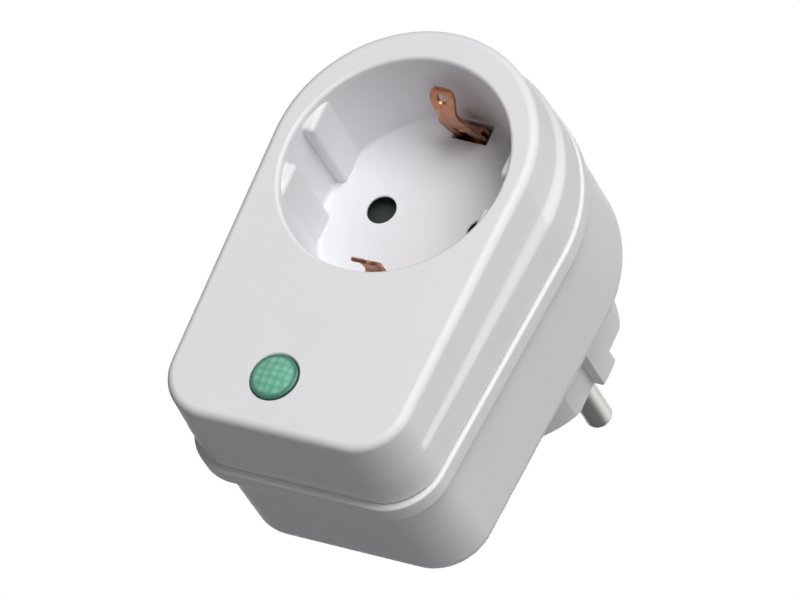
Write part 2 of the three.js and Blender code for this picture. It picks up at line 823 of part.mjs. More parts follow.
function varistor() {
  return join(
    crossRod(varistorRadius, -varistorThickness / 2, varistorThickness / 2, 0, 0, 24),
    block([-0.3, 0.3], [-varistorRadius - 0.8, 0], [-2.8, -2.2]),
    block([-0.3, 0.3], [-varistorRadius - 0.8, 0], [2.2, 2.8]),
  );
}

function glassFuse() {
  const half = fuseLength / 2;
  return join(
    crossRod(fuseRadius - 0.3, -half + 1, half - 1, 0, 0),
    crossRod(fuseRadius, -half, -half + 5, 0, 0),
    crossRod(fuseRadius, half - 5, half, 0, 0),
  );
}

function thermalFuse() {
  const half = thermalFuseLength / 2;
  return join(
    crossRod(thermalFuseRadius, -half, half, 0, 0),
    crossRod(0.35, -half - 2.5, half + 2.5, 0, 0, 8),
  );
}

function resistor() {
  const half = resistorLength / 2;
  return join(
    crossRod(resistorRadius * 0.85, -half + 0.5, half - 0.5, 0, 0, 12),
    crossRod(resistorRadius, -half, -half + 1.6, 0, 0, 12),
    crossRod(resistorRadius, half - 1.6, half, 0, 0, 12),
    crossRod(0.3, -half - 1.4, half + 1.4, 0, 0, 8),
  );
}

// A supply lead from the top of the board to the busbar on the same side.
function supplyLead(side) {
  const lowered = -contactRadius - 1 - stripThickness / 2 - gap - leadRadius;
  const entry = -Math.sqrt((plugCavityRadius - leadRadius - 0.9) ** 2 - pinX ** 2);
  const x = side * pinX;
  const start = side * (boardHalfWidth - 6);
  return wire([
    [start, boardBack + gap + leadRadius, boardTop - 2],
    [start, boardBack + 4.4, boardTop - 1.4],
    [(start * 2 + x) / 3, boardBack + 9, boardTop + 3.8],
    [x, backInside - 2.2, entry - 0.4],
    [x, backFace + 1, entry + 2],
    [x, backFace + 5.5, lowered],
  ], leadRadius);
}

function earthLead() {
  return wire([
    [5.6, boardBack + gap + leadRadius, boardTop - 2],
    [5.8, boardBack + 5, boardTop - 1],
    [5.8, footFront + 0.4, boardTop + 5],
    [4.9, railBack + gap + leadRadius + 0.4, -earthRivetZ + 1],
    [2.6, railBack + gap + leadRadius + 0.1, -8.6],
    [0.6, railBack + gap + leadRadius, -7],
  ], leadRadius);
}

// Materials
const whiteCasing = () => new THREE.MeshStandardMaterial({ color: 0xe4e4e6, roughness: 0.42, metalness: 0 });
const greenLens = () => new THREE.MeshStandardMaterial({ color: 0x55a888, roughness: 0.18, metalness: 0 });
const nickel = () => new THREE.MeshStandardMaterial({ color: 0xb9b9b6, roughness: 0.3, metalness: 1 });
const bronze = () => new THREE.MeshStandardMaterial({ color: 0xa9775f, roughness: 0.32, metalness: 1 });
const brass = () => new THREE.MeshStandardMaterial({ color: 0xc2a05a, roughness: 0.35, metalness: 1 });
const zincSteel = () => new THREE.MeshStandardMaterial({ color: 0xa8abad, roughness: 0.4, metalness: 1 });
const springSteel = () => new THREE.MeshStandardMaterial({ color: 0x8c8e90, roughness: 0.3, metalness: 1 });
const darkPlastic = () => new THREE.MeshStandardMaterial({ color: 0x2b3232, roughness: 0.55, metalness: 0 });
const beigeThermoset = () => new THREE.MeshStandardMaterial({ color: 0xcfc8b4, roughness: 0.6 });
const boardGreen = () => new THREE.MeshStandardMaterial({ color: 0x2f6b45, roughness: 0.5, metalness: 0 });
const capacitorYellow = () => new THREE.MeshStandardMaterial({ color: 0xd9a83a, roughness: 0.5 });
const varistorBlue = () => new THREE.MeshStandardMaterial({ color: 0x2d5aa0, roughness: 0.45 });
const fuseGlass = () => new THREE.MeshStandardMaterial({ color: 0xcdd6d6, roughness: 0.12, metalness: 0.1 });
const fuseBody = () => new THREE.MeshStandardMaterial({ color: 0xd8d8d0, roughness: 0.5, metalness: 0 });
const resistorBlue = () => new THREE.MeshStandardMaterial({ color: 0x7fa3b5, roughness: 0.5, metalness: 0 });
const ledGreen = () => new THREE.MeshStandardMaterial({ color: 0x3fb46d, roughness: 0.15, metalness: 0 });
const brownWire = () => new THREE.MeshStandardMaterial({ color: 0x6a3b22, roughness: 0.5, metalness: 0 });
const blueWire = () => new THREE.MeshStandardMaterial({ color: 0x2b62b0, roughness: 0.5, metalness: 0 });
const earthWire = () => new THREE.MeshStandardMaterial({ color: 0x9bb437, roughness: 0.5, metalness: 0 });

const adapter = new THREE.Group();
const inside = new THREE.Group();
inside.position.y = -plugEnd;
adapter.add(inside);

// Adds one named piece; place is x, depth and height, and turn is about the depth axis, in degrees.
function add(name, body, material, place = [0, 0, 0], turn = 0) {
  const mesh = new THREE.Mesh(geometryOf(body), material);
  mesh.name = name;
  mesh.position.set(...place);
  mesh.rotation.y = THREE.MathUtils.degToRad(turn);
  inside.add(mesh);
}

add('front_shell', frontShell(), whiteCasing());
add('socket_cup', socketCup(), whiteCasing());
add('rear_shell', rearShell(), whiteCasing());
add('indicator_lens', indicatorLens(), greenLens(), [-lensOffset, 0, lensZ]);
add('indicator_led', indicatorLed(), ledGreen(), [-lensOffset, 0, lensZ]);
postPlaces.forEach(([x, z], i) => {
  const headSeat = backFace - screwSink + gap;
  add(`case_screw_${i + 1}`, screw(caseScrew, headSeat, 11), zincSteel(), [x, 0, z]);
});

for (const [side, name] of [[-1, 'left'], [1, 'right']]) {
  const x = side * pinX;
  add(`plug_pin_${name}`, plugPin(), nickel(), [x, 0, 0]);
  add(`busbar_${name}`, busbar(), brass(), [x, 0, 0]);
  add(`socket_contact_${name}`, socketContact(), brass(), [x, 0, 0]);
  const carrierScrew = screw(smallScrew, carrierFront - gap, carrierBack + 4);
  const coverScrew = screw(smallScrew, coverBack + gap, floorBack + 1.2);
  const boardScrew = screw(smallScrew, boardDepth - gap, boardBack + 7);
  add(`carrier_screw_${name}`, carrierScrew, zincSteel(), [side * carrierScrewX, 0, 0]);
  add(`cover_screw_${name}`, coverScrew, zincSteel(), [side * coverScrewX, 0, 0]);
  add(`board_screw_${name}`, boardScrew, zincSteel(), [side * standoffX, 0, standoffZ]);
}
add('pin_holder', pinHolder(), beigeThermoset());
add('contact_carrier', contactCarrier(), beigeThermoset());

add('earth_rail', earthRail(), brass());
for (const [turn, name] of [[0, 'upper'], [180, 'lower']]) {
  const side = turn ? -1 : 1;
  add(`earth_spring_${name}`, earthSpring(), bronze(), [0, 0, 0], turn);
  add(`plug_earth_strip_${name}`, plugEarthStrip(), nickel(), [0, 0, 0], turn);
  add(`earth_rivet_${name}`, earthRivet(), brass(), [0, 0, side * earthRivetZ]);
  const holderScrew = screw(smallScrew, holderFront - gap, endInside + 1.2);
  add(`holder_screw_${name}`, holderScrew, zincSteel(), [0, 0, side * holderScrewZ]);
}

add('shutter_plate', shutterPlate(), darkPlastic());
add('shutter_spring', shutterSpring(), springSteel());
add('shutter_cover', shutterCover(), beigeThermoset());

add('circuit_board', circuitBoard(), boardGreen());
const capacitorZ = boardTop - 1 - capacitorSize.height / 2;
const capacitorY = boardDepth - gap - capacitorSize.depth / 2;
add('film_capacitor', filmCapacitor(), capacitorYellow(), [0, capacitorY, capacitorZ]);
const fuseZ = capacitorZ - capacitorSize.height / 2 - 0.8 - fuseRadius;
add('glass_fuse', glassFuse(), fuseGlass(), [0, boardDepth - gap - fuseRadius, fuseZ]);
[-1, 0, 1].forEach((step, i) => {
  const depth = boardBack + gap + 0.8 + varistorRadius;
  add(`varistor_${i + 1}`, varistor(), varistorBlue(), [step * varistorSpacing, depth, boardShoulder - 1.4]);
});
add('thermal_fuse', thermalFuse(), fuseBody(), [0, boardBack + gap + thermalFuseRadius, boardTop - 6.6]);
add('resistor_1', resistor(), resistorBlue(), [5.4, boardDepth - gap - resistorRadius, boardBottom + 2]);
add('resistor_2', resistor(), resistorBlue(), [5.4, boardDepth - gap - resistorRadius, boardBottom + 5.8]);
add('lead_live', supplyLead(1), brownWire());
add('lead_neutral', supplyLead(-1), blueWire());
add('lead_earth', earthLead(), earthWire());

export default adapter;
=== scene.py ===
import math

import bmesh
import bpy
from mathutils import Matrix, Vector


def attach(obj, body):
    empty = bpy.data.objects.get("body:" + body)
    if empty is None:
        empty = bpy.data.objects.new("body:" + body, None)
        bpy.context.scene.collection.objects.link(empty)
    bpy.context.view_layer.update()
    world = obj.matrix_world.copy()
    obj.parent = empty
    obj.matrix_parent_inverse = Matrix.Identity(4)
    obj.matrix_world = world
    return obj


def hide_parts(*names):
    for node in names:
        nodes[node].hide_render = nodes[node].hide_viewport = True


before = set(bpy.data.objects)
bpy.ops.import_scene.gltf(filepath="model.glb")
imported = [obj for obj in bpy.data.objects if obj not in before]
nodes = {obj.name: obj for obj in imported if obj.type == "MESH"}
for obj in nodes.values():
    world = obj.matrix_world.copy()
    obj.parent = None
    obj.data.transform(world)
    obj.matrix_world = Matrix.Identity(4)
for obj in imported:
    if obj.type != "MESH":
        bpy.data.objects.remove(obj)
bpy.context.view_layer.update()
mm = 0.001
print("frame loaded:", len(nodes), "parts")

picture = {
    "azimuth": 30.68,        # degrees round the adapter, from straight in front
    "elevation": -21.03,     # looked at from below
    "roll": 25.44,
    "aim": (-0.19, -40.7, -14.05),   # mm
    "width": 130.85,         # mm that the picture takes in at the aim
    "distance": 3000,        # mm
    "sensor": 36,
    "farthest": 60,          # metres
}


def addCamera():
    azimuth, elevation, roll = (math.radians(picture[key]) for key in ("azimuth", "elevation", "roll"))
    level = math.cos(elevation)
    back = Vector((math.sin(azimuth) * level, -math.cos(azimuth) * level, math.sin(elevation)))
    right = (-back).cross(Vector((0, 0, 1))).normalized()
    up = back.cross(right)
    turn = Matrix((right, up, back)).transposed().to_4x4() @ Matrix.Rotation(roll, 4, "Z")
    bpy.ops.object.camera_add()
    camera = bpy.context.object
    camera.name = "camera"
    seat = Vector(picture["aim"]) + back * picture["distance"]
    camera.matrix_world = Matrix.Translation(seat * mm) @ turn
    camera.data.sensor_width = picture["sensor"]
    camera.data.lens = picture["sensor"] * picture["distance"] / picture["width"]
    camera.data.clip_end = picture["farthest"]
    bpy.context.scene.camera = camera


studio = {
    "key": {"at": (0.68, -1.45, 0.53), "size": 1.2, "power": 27},
    "side": {"at": (1.5, -0.5, 0.25), "size": 1.2, "power": 1.8},
    "low": {"at": (0.9, -0.9, -0.9), "size": 1.0, "power": 3.6},
    "back": {"at": (1.45, 0.75, 0.5), "size": 0.9, "power": 4.8},
    "rear": {"at": (-0.7, 1.7, 0.5), "size": 1.2, "power": 16},
    "world": 0.03,
    "tent": 0.7,             # what shiny parts reflect
    "floor": -1.4,
    "floorSize": 14,
}


def addArea(name, spec):
    aim = Vector(picture["aim"]) * mm
    spot = Vector(spec["at"])
    bpy.ops.object.light_add(type="AREA", location=spot)
    light = bpy.context.object
    light.name = name
    light.rotation_euler = (spot - aim).to_track_quat("Z", "Y").to_euler()
    light.data.shape = "DISK"
    light.data.size = spec["size"]
    light.data.energy = spec["power"]


def addNode(tree, kind, inputs=None, **settings):
    made = tree.nodes.new(kind)
    for key, value in settings.items():
        setattr(made, key, value)
    for key, value in (inputs or {}).items():
        if isinstance(value, bpy.types.NodeSocket):
            tree.links.new(value, made.inputs[key])
        else:
            made.inputs[key].default_value = value
    return made


def linear(code):   # sRGB hex to the linear colour that sockets take
    parts = [int(code[i:i + 2], 16) / 255 for i in (0, 2, 4)]
    return tuple(c / 12.92 if c <= 0.04045 else ((c + 0.055) / 1.055) ** 2.4 for c in parts) + (1.0,)


def mixShader(tree, share, first, second):
    return addNode(tree, "ShaderNodeMixShader", {0: share, 1: first.outputs[0], 2: second.outputs[0]})


def addWorld():
    world = bpy.data.worlds.new("studioWorld")
    bpy.context.scene.world = world
    world.use_nodes = True
    tree = world.node_tree
    tree.nodes.clear()
    eye = addNode(tree, "ShaderNodeLightPath")
    seen = addNode(tree, "ShaderNodeBackground", {"Color": linear("ffffff"), "Strength": 1.0})
    fill = addNode(tree, "ShaderNodeBackground", {"Color": linear("f4f6ff"), "Strength": studio["world"]})
    tent = addNode(tree, "ShaderNodeBackground", {"Color": linear("fafafa"), "Strength": studio["tent"]})
    lit = mixShader(tree, eye.outputs["Is Glossy Ray"], fill, tent)
    both = mixShader(tree, eye.outputs["Is Camera Ray"], lit, seen)
    addNode(tree, "ShaderNodeOutputWorld", {"Surface": both.outputs[0]})
    bpy.context.scene.view_settings.view_transform = "Standard"


def addFloor():
    bpy.ops.mesh.primitive_plane_add(size=studio["floorSize"], location=(0, 0, studio["floor"]))
    floor = bpy.context.object
    floor.name = "floor"
    paper = bpy.data.materials.new("paleFloorPaper")
    paper.use_nodes = True
    tree = paper.node_tree
    tree.nodes.clear()
    eye = addNode(tree, "ShaderNodeLightPath")
    lit = addNode(tree, "ShaderNodeBsdfDiffuse", {"Color": linear("b4b4b6")})
    pale = addNode(tree, "ShaderNodeEmission", {"Color": linear("f6f6f7"), "Strength": 1.0})
    both = mixShader(tree, eye.outputs["Is Camera Ray"], lit, pale)
    addNode(tree, "ShaderNodeOutputMaterial", {"Surface": both.outputs[0]})
    floor.data.materials.append(paper)


addCamera()
for lightName in ("key", "side", "low", "back", "rear"):
    addArea(lightName, studio[lightName])
addWorld()
addFloor()
print("camera and lights set")


def newMaterial(name):
    made = bpy.data.materials.new(name)
    made.use_nodes = True
    tree = made.node_tree
    tree.nodes.clear()
    spot = addNode(tree, "ShaderNodeTexCoord").outputs["Object"]
    return made, tree, spot


def finishMaterial(tree, shader):
    addNode(tree, "ShaderNodeOutputMaterial", {"Surface": shader.outputs[0]})


def grain(tree, spot, size, detail=3.0):   # noise whose features are about size mm across
    return addNode(tree, "ShaderNodeTexNoise", {"Vector": spot, "Scale": 1 / (size * mm), "Detail": detail,
                                                "Roughness": 0.55}).outputs["Fac"]


def drawnLines(tree, spot, size, stretch):   # noise drawn out along a piece, as rolling or turning leaves it
    along = addNode(tree, "ShaderNodeMapping", {"Vector": spot, "Scale": stretch}).outputs[0]
    return addNode(tree, "ShaderNodeTexNoise", {"Vector": along, "Scale": 1 / (size * mm),
                                                "Detail": 2.0}).outputs["Fac"]


def spread(tree, value, low, high):
    return addNode(tree, "ShaderNodeMapRange", {"Value": value, "From Min": 0.3, "From Max": 0.7,
                                                "To Min": low, "To Max": high}).outputs["Result"]


def tint(tree, value, first, second):
    return addNode(tree, "ShaderNodeMix", {"Factor": value, "A": linear(first), "B": linear(second)},
                   data_type="RGBA").outputs["Result"]


def bump(tree, height, depth, strength=1.0, under=None):   # depth in mm
    inputs = {"Height": height, "Distance": depth * mm, "Strength": strength}
    if under is not None:
        inputs["Normal"] = under
    return addNode(tree, "ShaderNodeBump", inputs).outputs["Normal"]


def mouldedAbs(name, first, second):   # white ABS from a spark-eroded mould: even, slightly broken gloss
    made, tree, spot = newMaterial(name)
    spark = grain(tree, spot, 0.45)       # coarser than the real 0.1 mm so that it shows
    flow = grain(tree, spot, 9)
    shader = addNode(tree, "ShaderNodeBsdfPrincipled", {
        "Base Color": tint(tree, flow, first, second),
        "Roughness": spread(tree, grain(tree, spot, 2.5), 0.52, 0.62),
        "IOR": 1.53,
        "Normal": bump(tree, spark, 0.03, 0.5),
    })
    finishMaterial(tree, shader)
    return made


def nickelPlate():   # turned brass, nickel plated: satin grey with fine rings round the pin
    made, tree, spot = newMaterial("turnedNickelPlate")
    rings = drawnLines(tree, spot, 0.25, (0.15, 1.0, 0.15))
    shader = addNode(tree, "ShaderNodeBsdfPrincipled", {
        "Base Color": tint(tree, grain(tree, spot, 3), "dad9d6", "e6e4e0"),
        "Metallic": 1.0,
        "Roughness": spread(tree, rings, 0.38, 0.52),
        "Normal": bump(tree, rings, 0.02, 0.6),
    })
    finishMaterial(tree, shader)
    return made


def rolledBronze():   # phosphor bronze strip, rolled and stamped: warm copper with draw lines
    made, tree, spot = newMaterial("rolledPhosphorBronze")
    lines = drawnLines(tree, spot, 0.18, (1.0, 0.06, 0.3))
    shader = addNode(tree, "ShaderNodeBsdfPrincipled", {
        "Base Color": tint(tree, grain(tree, spot, 1.6), "a8684a", "d69c7c"),
        "Metallic": 1.0,
        "Roughness": spread(tree, lines, 0.22, 0.42),
        "Normal": bump(tree, lines, 0.02, 0.6),
    })
    finishMaterial(tree, shader)
    return made


def stampedBrass():   # brass strip, stamped: yellow with a faint rolled texture
    made, tree, spot = newMaterial("stampedBrass")
    lines = drawnLines(tree, spot, 0.25, (1.0, 0.08, 0.4))
    shader = addNode(tree, "ShaderNodeBsdfPrincipled", {
        "Base Color": tint(tree, grain(tree, spot, 4), "b8924a", "d2b062"),
        "Metallic": 1.0,
        "Roughness": spread(tree, lines, 0.25, 0.42),
        "Normal": bump(tree, lines, 0.02, 0.5),
    })
    finishMaterial(tree, shader)
    return made


def zincPlate():   # zinc-plated steel screws: pale grey with cloudy passivation
    made, tree, spot = newMaterial("zincPlatedSteel")
    cloud = grain(tree, spot, 1.4)
    shader = addNode(tree, "ShaderNodeBsdfPrincipled", {
        "Base Color": tint(tree, cloud, "a2a6ab", "c0c1bb"),
        "Metallic": 1.0,
        "Roughness": spread(tree, cloud, 0.3, 0.45),
        "Normal": bump(tree, grain(tree, spot, 0.3), 0.02, 0.5),
    })
    finishMaterial(tree, shader)
    return made


def drawnSteel():   # spring wire, drawn: dark bright steel
    made, tree, spot = newMaterial("drawnSpringSteel")
    shader = addNode(tree, "ShaderNodeBsdfPrincipled", {
        "Base Color": tint(tree, grain(tree, spot, 0.8), "74777b", "94979b"),
        "Metallic": 1.0,
        "Roughness": spread(tree, grain(tree, spot, 0.3), 0.25, 0.4),
    })
    finishMaterial(tree, shader)
    return made


def mattePlastic(name, first, second, size, low, high, relief=0.02):   # moulded or dipped, with fine tooth
    made, tree, spot = newMaterial(name)
    fine = grain(tree, spot, size)
    shader = addNode(tree, "ShaderNodeBsdfPrincipled", {
        "Base Color": tint(tree, grain(tree, spot, size * 8), first, second),
        "Roughness": spread(tree, fine, low, high),
        "IOR": 1.5,
        "Normal": bump(tree, fine, relief, 0.6),
    })
    finishMaterial(tree, shader)
    return made


lens = {
    "radius": 4.15, "dome": 0.75, "brim": 0.55, "pitch": 1.35, "centre": (-3.1, -41.8), "sides": 72,
    "holeEdge": 0.2, "holeEnd": 4.0, "brimStep": 0.28, "flange": 0.9, "flangeReach": 0.8,
    "well": 2.4, "wellDepth": 1.6,
}


def tintedLens():   # green polycarbonate with moulded prisms behind a clear skin: light cells, with painted shade darkening the brim
    made, tree, spot = newMaterial("tintedPolycarbonate")
    centred = addNode(tree, "ShaderNodeMapping", {
        "Vector": spot, "Location": (-lens["centre"][0] * mm, 0, -lens["centre"][1] * mm)}).outputs[0]
    flat = addNode(tree, "ShaderNodeVectorMath", {0: centred, 1: (1, 0, 1)}, operation="MULTIPLY").outputs[0]
    reach = addNode(tree, "ShaderNodeVectorMath", {0: flat}, operation="LENGTH").outputs["Value"]
    cells = addNode(tree, "ShaderNodeTexVoronoi", {"Vector": flat, "Scale": 1 / (lens["pitch"] * mm),
                                                   "Randomness": 0.25}).outputs["Distance"]
    inner = tint(tree, cells, "84caac", "3a8568")
    # painted shade: the colour runs to a dark green towards the rim of the lens, standing in for the shadowed gap
    # round it
    edge = addNode(tree, "ShaderNodeMapRange", {
        "Value": reach, "From Min": (lens["radius"] - 1.0) * mm, "From Max": (lens["radius"] - 0.35) * mm,
        "To Min": 0.0, "To Max": 1.0}, interpolation_type="SMOOTHSTEP").outputs["Result"]
    # mixes the painted brim shade into the cell colour
    colour = addNode(tree, "ShaderNodeMix", {"Factor": edge, "A": inner, "B": linear("3a7460")},
                     data_type="RGBA").outputs["Result"]
    shader = addNode(tree, "ShaderNodeBsdfPrincipled", {
        "Base Color": colour,
        "Roughness": spread(tree, grain(tree, spot, 0.6), 0.3, 0.4),
        "IOR": 1.585,
        "Coat Weight": 0.15,
        "Coat Roughness": 0.12,
        "Normal": bump(tree, cells, 0.12, 0.5),
    })
    finishMaterial(tree, shader)
    return made


materials = {
    "abs": mouldedAbs("mouldedWhiteAbs", "e2e2e4", "e7e7e9"),
    # the same white ABS as the shell, a touch darker: painted shade for the socket recess
    "cupAbsPaintedShade": mouldedAbs("mouldedWhiteAbsCupPaintedShade", "dedee1", "e3e3e6"),
    "lens": tintedLens(),
    "nickel": nickelPlate(),
    "bronze": rolledBronze(),
    "brass": stampedBrass(),
    "zinc": zincPlate(),
    "springSteel": drawnSteel(),
    "dark": mattePlastic("mouldedDarkPolyamide", "1a2222", "262e2e", 0.4, 0.45, 0.6),
    "thermoset": mattePlastic("mouldedBeigeThermoset", "cdc5b0", "d8d1bf", 0.5, 0.5, 0.65),
    "board": mattePlastic("maskedGlassEpoxy", "1f6a3f", "2b7a4a", 0.7, 0.35, 0.5),
    "capacitor": mattePlastic("pottedYellowCase", "d9a431", "e3b044", 0.5, 0.42, 0.55),
    "varistor": mattePlastic("dippedBlueEpoxy", "24569c", "2f66b3", 1.2, 0.3, 0.45, 0.05),
    "ceramic": mattePlastic("coatedCeramic", "d6d5cc", "e4e3db", 0.6, 0.4, 0.55),
    "resistor": mattePlastic("lacqueredResistor", "7ea2b4", "93b5c4", 0.5, 0.35, 0.5),
    "led": mattePlastic("tintedEpoxyLed", "3aa565", "54c07e", 0.8, 0.12, 0.2, 0.01),
    "brownPvc": mattePlastic("brownPvcSleeve", "5e3018", "70401f", 0.5, 0.4, 0.55),
    "bluePvc": mattePlastic("bluePvcSleeve", "2558a8", "2f66ba", 0.5, 0.4, 0.55),
    "earthPvc": mattePlastic("earthPvcSleeve", "8aa82e", "a9bd33", 0.5, 0.4, 0.55),
}


def fuseGlass():   # glass tube with caps: clear green-grey body
    made, tree, spot = newMaterial("drawnGlassTube")
    shader = addNode(tree, "ShaderNodeBsdfPrincipled", {
        "Base Color": tint(tree, grain(tree, spot, 3), "c9d6d2", "dbe4e0"),
        "Roughness": spread(tree, grain(tree, spot, 1), 0.05, 0.12),
        "Transmission Weight": 0.6,
        "IOR": 1.5,
    })
    finishMaterial(tree, shader)
    return made


materials["glass"] = fuseGlass()
print("materials made:", len(materials))

plugEnd = 61.5      # mm behind the front face
past = 1.0          # mm that a cutter runs beyond what it cuts
sunk = 0.5          # mm that a piece starts inside what it is welded to
apart = 0.03        # mm that keeps two faces out of one plane


def place(x, depth, z):
    return Vector((x, depth - plugEnd, z)) * mm


def circle(radius, depth, x=0.0, z=0.0, sides=96):
    angles = [2 * math.pi * i / sides for i in range(sides)]
    return [place(x + radius * math.cos(a), depth, z + radius * math.sin(a)) for a in angles]


def sweep(name, rings):   # a flat disc, reshaped and extruded from ring to ring
    bpy.ops.object.select_all(action="DESELECT")
    bpy.ops.mesh.primitive_circle_add(vertices=len(rings[0]), fill_type="NGON")
    piece = bpy.context.object
    piece.name = name
    for vertex, spot in zip(piece.data.vertices, rings[0]):
        vertex.co = spot
    bpy.ops.object.mode_set(mode="EDIT")
    bpy.ops.mesh.select_mode(type="VERT")
    bpy.ops.mesh.select_all(action="SELECT")
    for before, after in zip(rings, rings[1:]):
        bpy.ops.mesh.extrude_region_move()
        shape = bmesh.from_edit_mesh(piece.data)
        targets = dict(zip((key(spot) for spot in before), after))
        for vertex in shape.verts:
            if vertex.select:
                vertex.co = targets[key(vertex.co)]
        bmesh.update_edit_mesh(piece.data)
    bpy.ops.mesh.select_all(action="SELECT")
    bpy.ops.mesh.normals_make_consistent(inside=False)
    bpy.ops.object.mode_set(mode="OBJECT")
    return piece


def key(spot):
    return tuple(round(value * 1e7) for value in spot)


def turned(name, profile, x=0.0, z=0.0, sides=96):   # pairs of radius and depth
    return sweep(name, [circle(radius, depth, x, z, sides) for radius, depth in profile])


def rod(name, radius, start, end, x=0.0, z=0.0, sides=32):
    return turned(name, [(radius, start), (radius, end)], x, z, sides)


def block(name, x, depth, z):   # each a pair of limits, in either order
    x, depth, z = sorted(x), sorted(depth), sorted(z)
    low, high = place(x[0], depth[0], z[0]), place(x[1], depth[1], z[1])
    bpy.ops.object.select_all(action="DESELECT")
    bpy.ops.mesh.primitive_cube_add(size=1, location=(low + high) / 2)
    piece = bpy.context.object
    piece.name = name
    piece.scale = high - low
    bpy.ops.object.transform_apply(location=True, rotation=True, scale=True)
    return piece


def combine(piece, other, operation):
    modifier = piece.modifiers.new("combine", "BOOLEAN")
    modifier.operation = operation
    modifier.solver = "EXACT"
    modifier.object = other
    bpy.context.view_layer.objects.active = piece
    bpy.ops.object.modifier_apply(modifier=modifier.name)
    bpy.data.objects.remove(other)


def cut(piece, *tools):
    for tool in tools:
        combine(piece, tool, "DIFFERENCE")


def weld(piece, *others):
    for other in others:
        combine(piece, other, "UNION")


def roundEdges(piece, width, steps=2, angle=35):
    modifier = piece.modifiers.new("round", "BEVEL")
    modifier.width = width * mm
    modifier.segments = steps
    modifier.limit_method = "ANGLE"
    modifier.angle_limit = math.radians(angle)
    modifier.use_clamp_overlap = True
    bpy.context.view_layer.objects.active = piece
    bpy.ops.object.modifier_apply(modifier=modifier.name)


def finishPiece(piece, material, body, replaced, angle=32):
    bpy.ops.object.select_all(action="DESELECT")
    piece.select_set(True)
    bpy.context.view_layer.objects.active = piece
    bpy.ops.object.transform_apply(location=True, rotation=True, scale=True)
    bpy.ops.object.shade_smooth_by_angle(angle=math.radians(angle))
    modifier = piece.modifiers.new("evenNormals", "WEIGHTED_NORMAL")
    modifier.keep_sharp = True
    bpy.ops.object.modifier_apply(modifier=modifier.name)
    piece.data.materials.clear()
    piece.data.materials.append(materials[material])
    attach(piece, body)
    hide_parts(*replaced)
    return piece


casing = {
    "face": {"radius": 23.85, "rise": 2.0, "halfWidth": 22.6, "drop": 51.5, "corner": 9.0},
    "low": {"radius": 24.45, "rise": 1.8, "halfWidth": 22.7, "drop": 51.7, "corner": 9.0},
    "high": {"radius": 25.85, "rise": 1.1, "halfWidth": 22.8, "drop": 51.8, "corner": 9.0},
    "frontEnd": {"radius": 26.05, "rise": 1.0, "halfWidth": 22.85, "drop": 51.9, "corner": 9.0},
    "band": {"radius": 26.65, "rise": 0.6, "halfWidth": 23.45, "drop": 53.0, "corner": 9.5},
    "rear": {"radius": 25.55, "rise": 1.2, "halfWidth": 22.5, "drop": 50.9, "corner": 9.5},
    "back": {"radius": 24.75, "rise": 2.0, "halfWidth": 22.3, "drop": 50.6, "corner": 9.5},
    "faceRound": 1.5, "backRound": 3.0, "frontEndRound": 0.25,
    "bandRound": 0.45, "bandWidth": 3.5, "bandStep": 0.4,
    "shoulder": (7.6, 10.2), "frontDepth": 16.9, "backFace": 43.5, "wall": 2.0, "gap": 0.3,
    "faceThickness": 2.2, "lipStart": 15.3, "lipEnd": 19.2, "lipThickness": 1.2, "backInside": 41.5,
    "posts": ((17.55, -20.4), (-17.55, -20.4), (15.6, -43.5), (-15.6, -43.5)),
    "postRadius": 2.85, "postEnd": 22.0, "shank": 1.55, "pilotStart": 9.0, "sinkRadius": 3.1,
    "sinkDepth": 4.0, "sinkWall": 1.3, "play": 0.2,
}


def inset(outline, by):
    shrunk = dict(outline)
    for part in ("radius", "halfWidth", "drop", "corner"):
        shrunk[part] -= by
    return shrunk


def mix(first, second, share):
    return {part: first[part] * (1 - share) + second[part] * share for part in first}


def keystone(outline, depth, cornerSteps=14, archSteps=84):   # arch over two rounded corners
    radius, corner = outline["radius"], outline["corner"]
    cornerX, cornerZ = outline["halfWidth"] - corner, corner - outline["drop"]
    reach = math.hypot(cornerX, cornerZ - outline["rise"])
    side = math.atan2(cornerZ - outline["rise"], cornerX) + math.acos((radius - corner) / reach)
    points = []
    for x, z, r, start, end, steps in (
        (cornerX, cornerZ, corner, -math.pi / 2, side, cornerSteps),
        (0, outline["rise"], radius, side, math.pi - side, archSteps),
        (-cornerX, cornerZ, corner, math.pi - side, 1.5 * math.pi, cornerSteps),
    ):
        for i in range(steps + 1):
            angle = start + (end - start) * i / steps
            points.append(place(x + r * math.cos(angle), depth, z + r * math.sin(angle)))
    return points


def quarter(steps):
    return [math.pi / 2 * i / steps for i in range(steps + 1)]


def softStart(outline, edge, depth, steps):   # rounded over from a front face at depth
    return [keystone(inset(outline, edge * (1 - math.sin(a))), depth + edge * (1 - math.cos(a)))
            for a in quarter(steps)]


def softEnd(outline, edge, depth, steps):   # rounded in to a rear face at depth
    return [keystone(inset(outline, edge * (1 - math.cos(a))), depth - edge + edge * math.sin(a))
            for a in quarter(steps)]


def tunnel(name, outline, start, end):
    return sweep(name, [keystone(outline, start), keystone(outline, end)])


